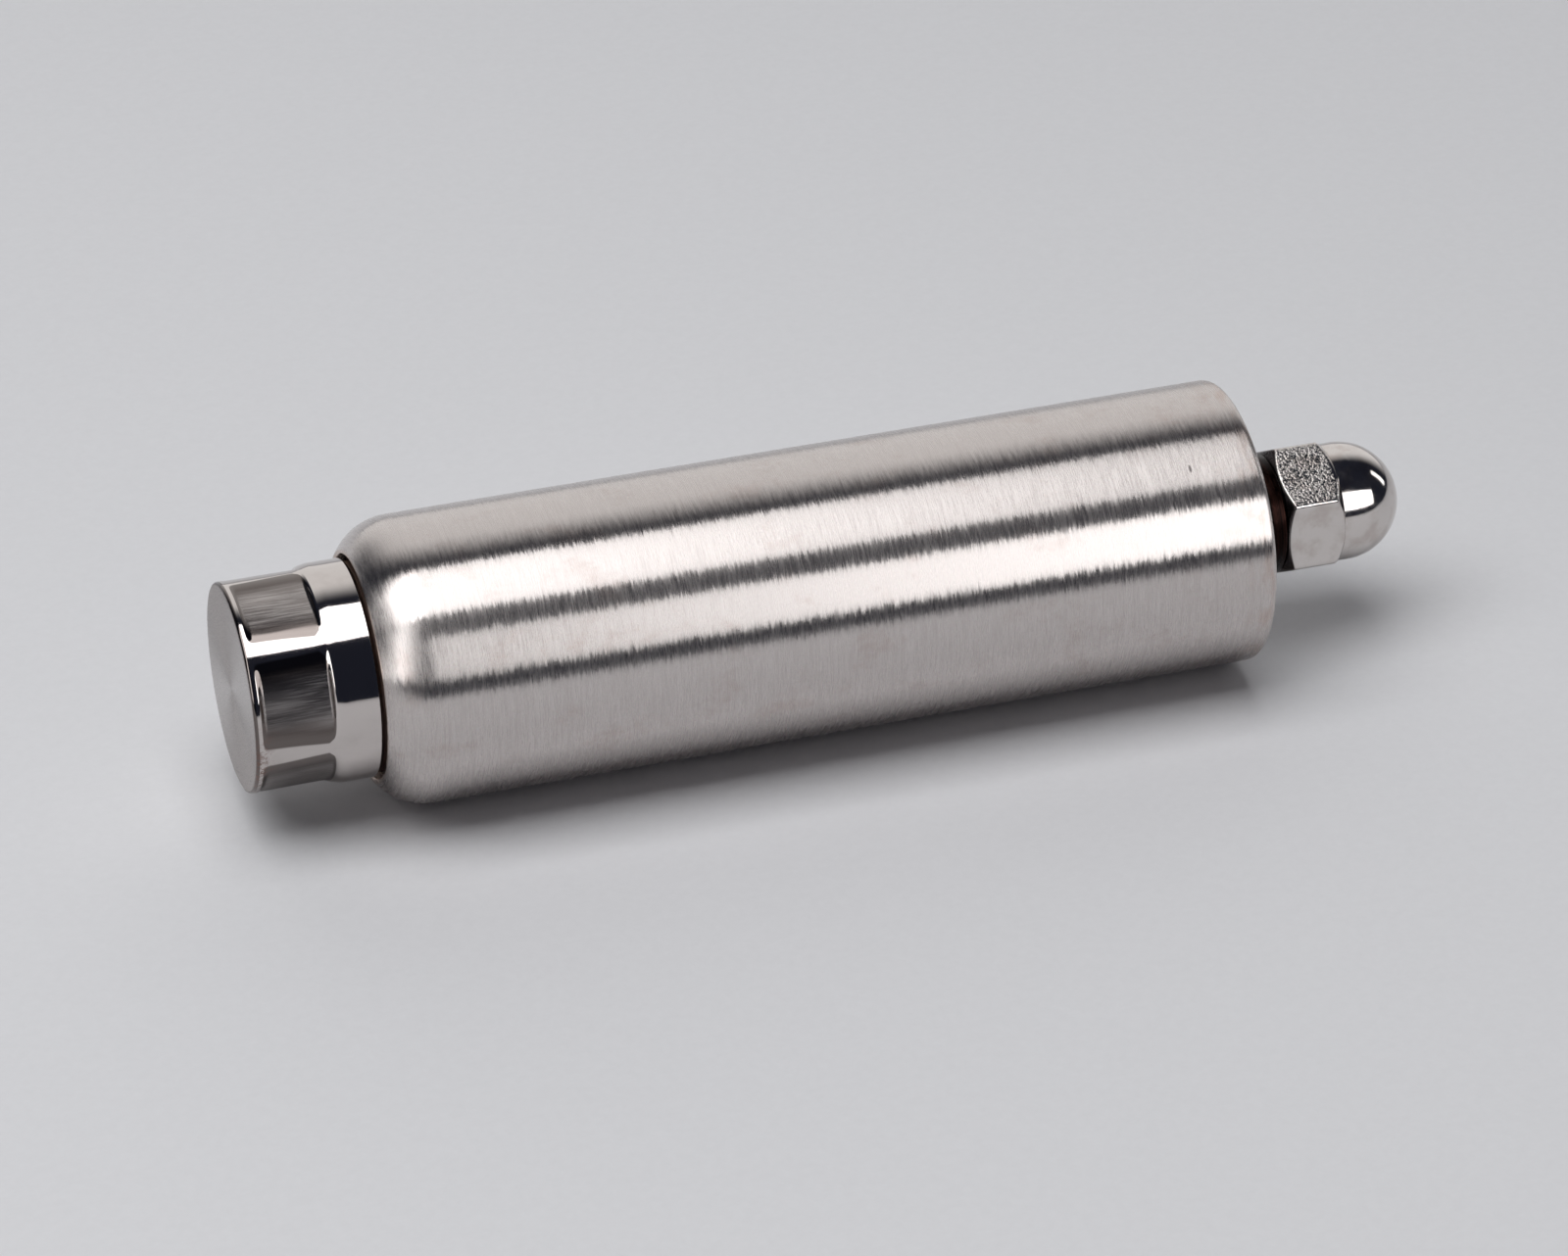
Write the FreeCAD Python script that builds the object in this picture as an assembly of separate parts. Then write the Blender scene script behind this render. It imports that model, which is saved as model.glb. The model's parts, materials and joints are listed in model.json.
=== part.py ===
"""A smooth steel cryptex: a brushed sleeve that hides a combination lock and a sliding vault.

The sleeve is a drawn tube with a rounded shoulder. A polished six-notch knob turns in the hole of the
shoulder. Its spindle drives a cam, and pins pass the turning from the cam to three tumbler wheels. A key
bar with three locking pins runs through the wheels. When the three gates line up with the pins, the
vault, which carries the key bar, is pulled out of the far end by its dome nut.

Millimetres. The axis of the cryptex lies along X, from the knob (-X) to the dome nut (+X). +Z is up, and
the sleeve lies on the plane Z = 0. X = 0 is the middle of the overall length. Every piece is drawn about
the X axis, with X counted as a station from the mouth of the sleeve's hole, and place() then moves it.
Angles are counted about +X from +Y towards +Z.
"""

import FreeCAD
import Part

import math
import os

Vec = FreeCAD.Vector
X_AXIS = Vec(1, 0, 0)
UP = 90.0

# Clearances
PRESS_GAP = 0.02  # pressed or glued pieces
TURN_GAP = 0.04  # a shaft in its bush
WHEEL_GAP = 0.15  # round a tumbler wheel
FACE_GAP = 0.10  # beside a tumbler wheel
SLIDE_GAP = 0.20  # the key bar in the guide plate
THREAD_GAP = 0.05  # a threaded piece in its nut

# Sleeve
SLEEVE_DIAMETER = 30.0
SLEEVE_WALL = 1.3
SLEEVE_LENGTH = 94.7
SHOULDER_RADIUS = 6.3
SHOULDER_RING = 3.3  # width of the sleeve's end, from its hole to its outside
HOLE_LIP = 0.45  # width of the flat edge round the hole
RIM_ROUND = 0.7
AXIS_HEIGHT = SLEEVE_DIAMETER / 2
BORE = AXIS_HEIGHT - SLEEVE_WALL

# Knob
KNOB_HOLE_GAP = 0.33  # between the knob's collar and the hole in the shoulder
KNOB_GRIP_STEP = 0.32  # from the collar in to the notched grip
KNOB_PROTRUSION = 13.3
KNOB_COLLAR_VISIBLE = 4.9  # the part of the collar that shows outside the hole
KNOB_COLLAR_INSIDE = 2.5
KNOB_COLLAR_BEVEL = 0.45  # where the collar goes into the hole
KNOB_RIM_WIDTH = 0.8
KNOB_EDGE = 0.35
KNOB_NOTCHES = 6
KNOB_NOTCH_PHASE = 159.6  # angle of the first notch
KNOB_NOTCH_RIM_DEPTH = 0.30  # a notch is a flat that deepens from the rim to the collar
KNOB_NOTCH_DEPTH = 0.85
KNOB_HUB_RADIUS = 6.4
KNOB_HUB_LENGTH = 1.8
CROSS_PIN_RADIUS = 0.8

# Spindle and its bearing
SPINDLE_RADIUS = 3.0
SPINDLE_DEPTH_IN_KNOB = 8.0
SQUARE_SIDE = 4.0
SQUARE_LENGTH = 1.5
BUSH_WALL = 1.5
FLANGE_THICKNESS = 0.8
THRUST_WASHER = 0.35
BEARING_PLATE_THICKNESS = 3.4
BEARING_PLATE_STATION = 5.6

# Drive cam and click spring
CAM_RING_GAP = 0.7  # between the cam and the ring round it
CAM_THICKNESS = 3.0
CAM_GAP = 0.2
CLICK_POSITIONS = 6
CLICK_GROOVE_WIDTH = 2.4
CLICK_GROOVE_DEPTH = 0.55
CLICK_INSET = 2.8  # from the cam's rim in to the middle of the click spring
SPRING_THICKNESS = 0.4
SPRING_WIDTH = 3.0
SPRING_POCKET_DEPTH = 1.8
SPRING_REACH = 0.35  # how far its nose enters a groove
SPRING_ROOT = -8.2  # its screwed end, counted sideways from its nose
SPRING_FOOT_END = -4.6
SPRING_NOSE_HALF = 0.4
SPRING_TAIL = 3.6
SPRING_SCREW_RADIUS = 0.9
SPRING_SCREW_HEAD = 1.5
SPRING_SCREW_LENGTH = 1.6
CAM_SCREW_RADIUS = 1.5
CAM_SCREW_HEAD = 2.7
CAM_SCREW_LENGTH = 5.0

# Tumbler wheels
WHEELS = 3
WHEEL_THICKNESS = 3.0
WHEEL_SPACE = 2.6  # free length between two wheels
CAM_SPACE = 3.8  # free length between the cam and the first wheel
WHEEL_BORE = 5.6
GATE_WIDTH = 2.6
PIN_RADIUS = 1.0
WHEEL_RIM = 3.75  # from the wheel's rim in to the circle of the pins
PIN_REACH = 1.7  # how far a wheel's pin stands out of its face
PIN_TOUCH_GAP = 0.02  # between a pin and the one that it pushes
CAM_PIN_ANGLE = 252.0
RING_WIDTH = 2.4
CAM_RING_WIDTH = 1.7

# Key bar
KEY_BAR_RADIUS = 5.0
KEY_BAR_FLAT = 4.2  # distance of its flat from the axis
KEY_BAR_NOSE_GAP = 0.7  # between its end and the cam
LOCKING_PIN_RADIUS = 0.9
LOCKING_PIN_TIP_GAP = 0.3  # between their tips and the tumbler pins that pass over them
LOCKING_PIN_ROOT = 1.5
GATE_CLEARANCE = 0.3  # of the gates beyond the locking pins' tips
KEY_STUB_RADIUS = 3.0
KEY_STUB_OVER = 0.8  # how far it stands out of its nut
DOWEL_RADIUS = 0.6
DOWEL_CIRCLE = 4.0
DOWEL_LENGTH = 3.0

# Guide plate and retaining ring
GUIDE_THICKNESS = 4.0
CLIP_THICKNESS = 1.2
CLIP_DEPTH = 0.5  # depth of its groove in the sleeve
CLIP_WIDTH = 1.9
CLIP_OPENING = 50.0  # degrees

# Vault
VAULT_GAP = 0.4
VAULT_WALL = 1.8
VAULT_FLOOR = 3.0
VAULT_STANDOFF = 1.4  # between the retaining ring and the vault
WINDOW_ANGLE = 120.0
WINDOW_START = 6.0  # from the vault's floor
WINDOW_END = 7.7  # from the end cap

# End cap
END_CAP_RECESS = 1.0  # below the rim of the sleeve
END_CAP_THICKNESS = 4.0
END_CAP_GAP = 0.2
SPIGOT_LENGTH = 4.0
O_RING_SECTION = 0.62
O_RING_GROOVE_WIDTH = 1.8
O_RING_CLEARANCE = 0.08
CAP_SCREWS = 3
CAP_SCREW_RADIUS = 1.0
CAP_SCREW_HEAD = 1.9
CAP_SCREW_LENGTH = 5.0

# Stud, washers and nuts
STUD_RADIUS = 4.0
THREAD_PITCH = 1.25
THREAD_DEPTH = 0.6
STUD_IN_DOME = 10.2
WASHERS = 3
WASHER_RADIUS = 6.5
WASHER_THICKNESS = 1.8
WASHER_CHAMFER = 0.25
DOME_NUT_FLATS = 13.0
DOME_NUT_HEX = 6.5
DOME_RADIUS = 6.3
DOME_NECK = 1.6  # straight part between the hexagon and the dome
DOME_NUT_CORNER_ANGLE = 145.8
LOCK_NUT_HEIGHT = 4.0
KEY_NUT_FLATS = 10.0
KEY_NUT_HEIGHT = 5.0
KEY_WASHER_RADIUS = 6.0
KEY_WASHER_THICKNESS = 1.0

# Stations along the axis, and radii
BEARING_REAR = BEARING_PLATE_STATION + BEARING_PLATE_THICKNESS
CAM_FRONT = BEARING_REAR + CAM_GAP
CAM_REAR = CAM_FRONT + CAM_THICKNESS
WHEEL_PITCH = WHEEL_THICKNESS + WHEEL_SPACE
FIRST_WHEEL = CAM_REAR + CAM_SPACE
WHEEL_FRONTS = [FIRST_WHEEL + n * WHEEL_PITCH for n in range(WHEELS)]
GUIDE_FRONT = WHEEL_FRONTS[-1] + WHEEL_THICKNESS + FACE_GAP
GUIDE_REAR = GUIDE_FRONT + GUIDE_THICKNESS
CLIP_FRONT = GUIDE_REAR + FACE_GAP / 2
VAULT_FRONT = CLIP_FRONT + CLIP_THICKNESS + VAULT_STANDOFF
VAULT_INSIDE = VAULT_FRONT + VAULT_FLOOR
CAP_REAR = SLEEVE_LENGTH - END_CAP_RECESS
CAP_FRONT = CAP_REAR - END_CAP_THICKNESS
SPIGOT_FRONT = CAP_FRONT - SPIGOT_LENGTH
NUT_BASE = CAP_REAR + WASHERS * WASHER_THICKNESS
HEX_END = NUT_BASE + DOME_NUT_HEX
DOME_CENTRE = HEX_END + DOME_NECK
TIP = DOME_CENTRE + DOME_RADIUS
HOLE_RADIUS = AXIS_HEIGHT - SHOULDER_RING
KNOB_COLLAR_RADIUS = HOLE_RADIUS - KNOB_HOLE_GAP
KNOB_GRIP_RADIUS = KNOB_COLLAR_RADIUS - KNOB_GRIP_STEP
VAULT_OUTER = BORE - VAULT_GAP
VAULT_INNER = VAULT_OUTER - VAULT_WALL
CAM_RADIUS = BORE - CAM_RING_WIDTH - CAM_RING_GAP
CLICK_RADIUS = CAM_RADIUS - CLICK_INSET
WHEEL_RADIUS = BORE - WHEEL_GAP
PIN_CIRCLE = WHEEL_RADIUS - WHEEL_RIM
LOCKING_PIN_TIP = PIN_CIRCLE - PIN_RADIUS - LOCKING_PIN_TIP_GAP
GATE_TOP = LOCKING_PIN_TIP + GATE_CLEARANCE
PIN_STEP = 2 * math.degrees(math.asin((PIN_RADIUS + PIN_TOUCH_GAP / 2) / PIN_CIRCLE))
SPRING_POCKET_FLOOR = BEARING_REAR - SPRING_POCKET_DEPTH
SPRING_SCREW_AT = (SPRING_ROOT + SPRING_FOOT_END) / 2
KEY_STUB_END = VAULT_INSIDE + KEY_WASHER_THICKNESS + KEY_NUT_HEIGHT + KEY_STUB_OVER
X_SHIFT = (KNOB_PROTRUSION - TIP) / 2


def radial(angle):
    """Unit vector square to the axis at that angle."""
    a = math.radians(angle)
    return Vec(0, math.cos(a), math.sin(a))


def polar(station, radius, angle):
    return Vec(station, 0, 0) + radial(angle) * radius


def rod(start, end, radius, hole=0.0):
    """A round bar about the axis, with a round hole if one is given."""
    bar = Part.makeCylinder(radius, end - start, Vec(start, 0, 0), X_AXIS)
    if hole:
        bar = bar.cut(Part.makeCylinder(hole, end - start, Vec(start, 0, 0), X_AXIS))
    return bar


def turned(profile, sweep=360.0, middle=UP):
    """Turns a closed outline of (station, radius) corners about the axis, over sweep degrees about middle."""
    corners = [Vec(station, radius, 0) for station, radius in profile]
    face = Part.Face(Part.makePolygon(corners + corners[:1]))
    face.rotate(Vec(0, 0, 0), X_AXIS, middle - sweep / 2)
    return face.revolve(Vec(0, 0, 0), X_AXIS, sweep)


def axial_pin(start, end, radius, circle, angle):
    """A pin that lies parallel to the axis."""
    return Part.makeCylinder(radius, end - start, polar(start, circle, angle), X_AXIS)


def radial_pin(station, inner, outer, radius, angle):
    return Part.makeCylinder(radius, outer - inner, polar(station, inner, angle), radial(angle))


def block(start, end, side_low, side_high, low, high):
    """A box with its length along the axis."""
    return Part.makeBox(end - start, side_high - side_low, high - low, Vec(start, side_low, low))


def slot_up(start, end, width, top):
    """A slot from the axis upwards, square to it, as the gates and the guide plate have."""
    return block(start, end, -width / 2, width / 2, 0, top)


def hexagon(start, end, flats, corner_angle=0.0):
    corners = [polar(start, flats / math.sqrt(3), corner_angle + 60 * n) for n in range(6)]
    face = Part.Face(Part.makePolygon(corners + corners[:1]))
    return face.extrude(X_AXIS * (end - start))


def hex_nut(start, height, flats, hole):
    """A hexagon nut with both faces chamfered to a circle as wide as its flats."""
    drop = (flats / math.sqrt(3) - flats / 2) * 0.6
    wide = flats / math.sqrt(3)
    end = start + height
    outline = [(start, 0), (start, flats / 2), (start + drop, wide), (end - drop, wide), (end, flats / 2), (end, 0)]
    return hexagon(start, end, flats).common(turned(outline)).cut(rod(start, end, hole))


def make_outer_sleeve():
    hole = HOLE_RADIUS
    lip = hole + HOLE_LIP
    centre_radius = AXIS_HEIGHT - SHOULDER_RADIUS
    inner_radius = SHOULDER_RADIUS - SLEEVE_WALL
    start_angle = math.acos((lip - centre_radius) / SHOULDER_RADIUS)
    hole_angle = math.acos((hole - centre_radius) / inner_radius)
    centre = SHOULDER_RADIUS * math.sin(start_angle)

    def shoulder(radius, angle):
        return Vec(centre - radius * math.sin(angle), centre_radius + radius * math.cos(angle), 0)

    outer_arc = Part.Arc(
        shoulder(SHOULDER_RADIUS, start_angle),
        shoulder(SHOULDER_RADIUS, start_angle / 2),
        shoulder(SHOULDER_RADIUS, 0),
    )
    inner_arc = Part.Arc(
        shoulder(inner_radius, 0), shoulder(inner_radius, hole_angle / 2), shoulder(inner_radius, hole_angle)
    )
    rim_start = Vec(SLEEVE_LENGTH - RIM_ROUND, AXIS_HEIGHT, 0)
    rim_end = Vec(SLEEVE_LENGTH, AXIS_HEIGHT - RIM_ROUND, 0)
    diagonal = RIM_ROUND * math.sqrt(0.5)
    rim_arc = Part.Arc(rim_start, Vec(rim_start.x + diagonal, rim_end.y + diagonal, 0), rim_end)
    outside = [Vec(centre, AXIS_HEIGHT, 0), rim_start]
    inside = [rim_end, Vec(SLEEVE_LENGTH, BORE, 0), Vec(centre, BORE, 0)]
    mouth = [shoulder(inner_radius, hole_angle), Vec(0, hole, 0), Vec(0, lip, 0)]
    edges = [arc.toShape() for arc in (outer_arc, inner_arc, rim_arc)]
    for path in (outside, inside, mouth):
        edges += [Part.makeLine(a, b) for a, b in zip(path, path[1:])]
    face = Part.Face(Part.Wire(Part.__sortEdges__(edges)))
    sleeve = face.revolve(Vec(0, 0, 0), X_AXIS, 360)
    groove = rod(CLIP_FRONT - FACE_GAP / 2, CLIP_FRONT + CLIP_THICKNESS + FACE_GAP / 2, BORE + CLIP_DEPTH)
    return sleeve.cut(groove)


def make_knob():
    face = -KNOB_PROTRUSION
    rim_end = face + KNOB_RIM_WIDTH
    grip_end = -KNOB_COLLAR_VISIBLE
    step = KNOB_COLLAR_RADIUS - KNOB_GRIP_RADIUS
    body = turned([
        (face, 0),
        (face, KNOB_GRIP_RADIUS - KNOB_EDGE),
        (face + KNOB_EDGE * 1.6, KNOB_GRIP_RADIUS),
        (grip_end, KNOB_GRIP_RADIUS),
        (grip_end + step * 2, KNOB_COLLAR_RADIUS),
        (-KNOB_COLLAR_BEVEL, KNOB_COLLAR_RADIUS),
        (0, KNOB_COLLAR_RADIUS - KNOB_COLLAR_BEVEL),
        (KNOB_COLLAR_INSIDE, KNOB_COLLAR_RADIUS - KNOB_COLLAR_BEVEL),
        (KNOB_COLLAR_INSIDE, KNOB_HUB_RADIUS),
        (KNOB_COLLAR_INSIDE + KNOB_HUB_LENGTH, KNOB_HUB_RADIUS),
        (KNOB_COLLAR_INSIDE + KNOB_HUB_LENGTH, 0),
    ])
    beyond = KNOB_COLLAR_RADIUS + 1
    outline = [
        (rim_end, KNOB_GRIP_RADIUS - KNOB_NOTCH_RIM_DEPTH),
        (grip_end, KNOB_GRIP_RADIUS - KNOB_NOTCH_DEPTH),
        (grip_end, beyond),
        (rim_end, beyond),
    ]
    corners = [Vec(station, -beyond, height) for station, height in outline]
    notch = Part.Face(Part.makePolygon(corners + corners[:1])).extrude(Vec(0, 2 * beyond, 0))
    for n in range(KNOB_NOTCHES):
        one = notch.copy()
        one.rotate(Vec(0, 0, 0), X_AXIS, KNOB_NOTCH_PHASE - UP + n * 360 / KNOB_NOTCHES)
        body = body.cut(one)
    bore = rod(-SPINDLE_DEPTH_IN_KNOB, KNOB_COLLAR_INSIDE + KNOB_HUB_LENGTH, SPINDLE_RADIUS + PRESS_GAP)
    return body.cut(bore).cut(cross_pin(PRESS_GAP))


def cross_pin(gap=0.0):
    """The pin across the hub of the knob, or its hole when a gap is given."""
    reach = KNOB_HUB_RADIUS + (1 if gap else 0)
    station = KNOB_COLLAR_INSIDE + KNOB_HUB_LENGTH / 2
    return radial_pin(station, -reach, reach, CROSS_PIN_RADIUS + gap, 0)


def make_spindle():
    shaft = rod(-SPINDLE_DEPTH_IN_KNOB, CAM_FRONT, SPINDLE_RADIUS)
    half = SQUARE_SIDE / 2
    square = block(CAM_FRONT, CAM_FRONT + SQUARE_LENGTH, -half, half, -half, half)
    return shaft.fuse(square).removeSplitter().cut(cross_pin(PRESS_GAP)).cut(cam_screw(PRESS_GAP))


def cam_screw(gap=0.0):
    """The countersunk screw that holds the cam on the spindle, or its hole when a gap is given."""
    head = CAM_SCREW_HEAD - CAM_SCREW_RADIUS
    return turned([
        (CAM_REAR - CAM_SCREW_LENGTH - gap, 0),
        (CAM_REAR - CAM_SCREW_LENGTH - gap, CAM_SCREW_RADIUS + gap),
        (CAM_REAR - head, CAM_SCREW_RADIUS + gap),
        (CAM_REAR, CAM_SCREW_HEAD + gap),
        (CAM_REAR, 0),
    ])


def make_cam_screw():
    drive = hexagon(CAM_REAR - 1.2, CAM_REAR, 2.0)
    return cam_screw().cut(drive)


def make_thrust_washer():
    end = BEARING_PLATE_STATION - FLANGE_THICKNESS - PRESS_GAP
    return rod(end - THRUST_WASHER, end, KNOB_HUB_RADIUS - 0.3, SPINDLE_RADIUS + SLIDE_GAP)


def make_spindle_bush():
    outer = SPINDLE_RADIUS + BUSH_WALL
    flange = KNOB_HUB_RADIUS - 0.1
    return turned([
        (BEARING_PLATE_STATION - FLANGE_THICKNESS, SPINDLE_RADIUS + TURN_GAP),
        (BEARING_PLATE_STATION - FLANGE_THICKNESS, flange),
        (BEARING_PLATE_STATION, flange),
        (BEARING_PLATE_STATION, outer),
        (BEARING_REAR, outer),
        (BEARING_REAR, SPINDLE_RADIUS + TURN_GAP),
    ])


def make_bearing_plate():
    plate = rod(BEARING_PLATE_STATION, BEARING_REAR, BORE - PRESS_GAP, SPINDLE_RADIUS + BUSH_WALL + PRESS_GAP)
    half = SPRING_WIDTH / 2 + SLIDE_GAP
    pocket = block(
        SPRING_POCKET_FLOOR, BEARING_REAR, SPRING_ROOT - SLIDE_GAP, SPRING_TAIL + 1,
        CLICK_RADIUS - half, CLICK_RADIUS + half,
    )
    return plate.cut(pocket).cut(click_spring_screw(PRESS_GAP))


def make_click_spring():
    """A strip of spring steel screwed in the pocket of the bearing plate. Its nose clicks into the cam."""
    floor = SPRING_POCKET_FLOOR
    nose = CAM_FRONT + SPRING_REACH - SPRING_THICKNESS
    flank = SPRING_NOSE_HALF + 0.9
    line = [
        (SPRING_ROOT, floor), (SPRING_FOOT_END, floor), (-flank, nose - 0.5), (-SPRING_NOSE_HALF, nose),
        (SPRING_NOSE_HALF, nose), (flank, nose - 0.5), (SPRING_TAIL, nose - 1.1),
    ]
    outline = line + [(y, x + SPRING_THICKNESS) for y, x in reversed(line)]
    low = CLICK_RADIUS - SPRING_WIDTH / 2
    corners = [Vec(x, y, low) for y, x in outline]
    strip = Part.Face(Part.makePolygon(corners + corners[:1])).extrude(Vec(0, 0, SPRING_WIDTH))
    return strip.cut(click_spring_screw(PRESS_GAP))


def click_spring_screw(gap=0.0):
    """The screw of the click spring, or its hole when a gap is given."""
    top = SPRING_POCKET_FLOOR + SPRING_THICKNESS
    at = Vec(0, SPRING_SCREW_AT, CLICK_RADIUS)
    length = SPRING_SCREW_LENGTH + gap
    shank = Part.makeCylinder(SPRING_SCREW_RADIUS + gap, length, Vec(top - length, 0, 0) + at, X_AXIS)
    if gap:
        return shank
    head = Part.makeCylinder(SPRING_SCREW_HEAD, 0.9, Vec(top, 0, 0) + at, X_AXIS)
    slot = Part.makeBox(0.5, 2 * SPRING_SCREW_HEAD, 0.5, Vec(top + 0.5, -SPRING_SCREW_HEAD, -0.25) + at)
    return shank.fuse(head).removeSplitter().cut(slot)


def make_drive_cam():
    cam = rod(CAM_FRONT, CAM_REAR, CAM_RADIUS)
    half = SQUARE_SIDE / 2 + PRESS_GAP
    cam = cam.cut(block(CAM_FRONT, CAM_FRONT + SQUARE_LENGTH + FACE_GAP, -half, half, -half, half))
    groove = block(
        CAM_FRONT, CAM_FRONT + CLICK_GROOVE_DEPTH, -CLICK_GROOVE_WIDTH / 2, CLICK_GROOVE_WIDTH / 2,
        CLICK_RADIUS - SPRING_WIDTH / 2 - 1, CAM_RADIUS,
    )
    for n in range(CLICK_POSITIONS):
        turned_groove = groove.copy()
        turned_groove.rotate(Vec(0, 0, 0), X_AXIS, n * 360 / CLICK_POSITIONS)
        cam = cam.cut(turned_groove)
    return cam.cut(cam_screw(PRESS_GAP)).cut(drive_pin(PRESS_GAP))


def drive_pin(gap=0.0):
    """The pin of the cam, or its hole when a gap is given."""
    end = CAM_REAR + CAM_SPACE - (WHEEL_SPACE - PIN_REACH)
    return axial_pin(CAM_FRONT + 1.0 - gap, end, PIN_RADIUS + gap, PIN_CIRCLE, CAM_PIN_ANGLE)


def wheel_pin(number, gap=0.0):
    """The pin pressed through a wheel. The last wheel drives nothing, so its pin stands out on one side."""
    front = WHEEL_FRONTS[number]
    last = number == WHEELS - 1
    end = front + WHEEL_THICKNESS + (0 if last else PIN_REACH)
    angle = CAM_PIN_ANGLE + (number + 1) * PIN_STEP
    return axial_pin(front - PIN_REACH, end, PIN_RADIUS + gap, PIN_CIRCLE, angle)


def make_wheel(number):
    front = WHEEL_FRONTS[number]
    end = front + WHEEL_THICKNESS
    wheel = rod(front, end, WHEEL_RADIUS, WHEEL_BORE)
    return wheel.cut(slot_up(front, end, GATE_WIDTH, GATE_TOP)).cut(wheel_pin(number, PRESS_GAP))


def make_front_spacer():
    return rod(BEARING_REAR, FIRST_WHEEL - FACE_GAP, BORE - PRESS_GAP, BORE - CAM_RING_WIDTH)


def make_spacer_ring(number):
    """The ring between a wheel and the next one."""
    start = WHEEL_FRONTS[number] + WHEEL_THICKNESS + FACE_GAP
    return rod(start, WHEEL_FRONTS[number + 1] - FACE_GAP, BORE - PRESS_GAP, BORE - RING_WIDTH)


def key_section(start, end, gap=0.0):
    """The key bar's round section with its flat underneath."""
    bar = rod(start, end, KEY_BAR_RADIUS + gap)
    wide = KEY_BAR_RADIUS + 1
    return bar.cut(block(start, end, -wide, wide, -wide, -KEY_BAR_FLAT - gap))


def make_guide_plate():
    plate = rod(GUIDE_FRONT, GUIDE_REAR, BORE - PRESS_GAP)
    plate = plate.cut(slot_up(GUIDE_FRONT, GUIDE_REAR, GATE_WIDTH, GATE_TOP))
    return plate.cut(key_section(GUIDE_FRONT, GUIDE_REAR, SLIDE_GAP))


def make_retaining_ring():
    outer = BORE + CLIP_DEPTH - PRESS_GAP
    inner = outer - CLIP_WIDTH
    end = CLIP_FRONT + CLIP_THICKNESS
    down = UP + 180
    ring = turned([(CLIP_FRONT, inner), (CLIP_FRONT, outer), (end, outer), (end, inner)], 360 - CLIP_OPENING, UP)
    eye_circle = inner + 0.4
    for side in (-1, 1):
        angle = down + side * CLIP_OPENING / 2
        ring = ring.fuse(axial_pin(CLIP_FRONT, end, 1.5, eye_circle, angle + side * 3))
        ring = ring.cut(axial_pin(CLIP_FRONT, end, 0.6, eye_circle, angle + side * 3))
    return ring.removeSplitter()


def locking_pin_stations():
    """A locking pin waits in front of each wheel, midway in the free length that it has there."""
    return [front - WHEEL_SPACE / 2 for front in WHEEL_FRONTS]


def locking_pins(gap=0.0):
    root = LOCKING_PIN_ROOT - gap
    return [
        radial_pin(station, root, LOCKING_PIN_TIP, LOCKING_PIN_RADIUS + gap, UP)
        for station in locking_pin_stations()
    ]


def key_dowel(gap=0.0):
    start = VAULT_FRONT - DOWEL_LENGTH / 2 - gap
    return axial_pin(start, start + DOWEL_LENGTH + 2 * gap, DOWEL_RADIUS + gap, DOWEL_CIRCLE, UP)


def make_key_bar():
    bar = key_section(CAM_REAR + KEY_BAR_NOSE_GAP, VAULT_FRONT).fuse(rod(VAULT_FRONT, KEY_STUB_END, KEY_STUB_RADIUS))
    bar = bar.removeSplitter().cut(key_dowel(PRESS_GAP))
    for hole in locking_pins(PRESS_GAP):
        bar = bar.cut(hole)
    return bar


def cap_screw(angle, gap=0.0):
    """A countersunk screw that holds the vault tube to the end cap's spigot, or its hole."""
    station = CAP_FRONT - SPIGOT_LENGTH / 2
    head_depth = CAP_SCREW_HEAD - CAP_SCREW_RADIUS
    surface = VAULT_OUTER - 0.15
    root = VAULT_OUTER - CAP_SCREW_LENGTH
    shank = radial_pin(station, root - gap, surface - head_depth, CAP_SCREW_RADIUS + gap, angle)
    head = Part.makeCone(
        CAP_SCREW_RADIUS + gap, CAP_SCREW_HEAD + gap, head_depth,
        polar(station, surface - head_depth, angle), radial(angle),
    )
    whole = shank.fuse(head)
    if gap:
        return whole.fuse(radial_pin(station, surface, VAULT_OUTER + 1, CAP_SCREW_HEAD + gap, angle))
    socket = radial_pin(station, surface - 0.7, surface, 0.65, angle)
    return whole.removeSplitter().cut(socket)


def cap_screw_angles():
    return [UP + 60 + n * 360 / CAP_SCREWS for n in range(CAP_SCREWS)]


def make_vault_tube():
    tube = rod(VAULT_FRONT, CAP_FRONT, VAULT_OUTER).cut(rod(VAULT_INSIDE, CAP_FRONT, VAULT_INNER))
    tube = tube.cut(rod(VAULT_FRONT, VAULT_INSIDE, KEY_STUB_RADIUS + THREAD_GAP)).cut(key_dowel(PRESS_GAP))
    start = VAULT_INSIDE + WINDOW_START
    end = CAP_FRONT - WINDOW_END
    beyond = VAULT_OUTER + 1
    low = VAULT_INNER / 2
    tube = tube.cut(turned([(start, low), (start, beyond), (end, beyond), (end, low)], WINDOW_ANGLE, UP))
    for angle in cap_screw_angles():
        tube = tube.cut(cap_screw(angle, PRESS_GAP))
    return tube


def make_end_cap():
    outer = BORE - END_CAP_GAP
    middle = (CAP_FRONT + CAP_REAR) / 2
    groove = O_RING_GROOVE_WIDTH / 2
    floor = o_ring_circle() - O_RING_SECTION - 0.03
    spigot = VAULT_INNER - PRESS_GAP
    hole = STUD_RADIUS + THREAD_GAP
    cap = turned([
        (SPIGOT_FRONT, hole), (SPIGOT_FRONT, spigot), (CAP_FRONT, spigot), (CAP_FRONT, outer),
        (middle - groove, outer), (middle - groove, floor), (middle + groove, floor), (middle + groove, outer),
        (CAP_REAR - 0.3, outer), (CAP_REAR, outer - 0.3), (CAP_REAR, hole),
    ])
    for angle in cap_screw_angles():
        cap = cap.cut(cap_screw(angle, PRESS_GAP))
    return cap


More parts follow.
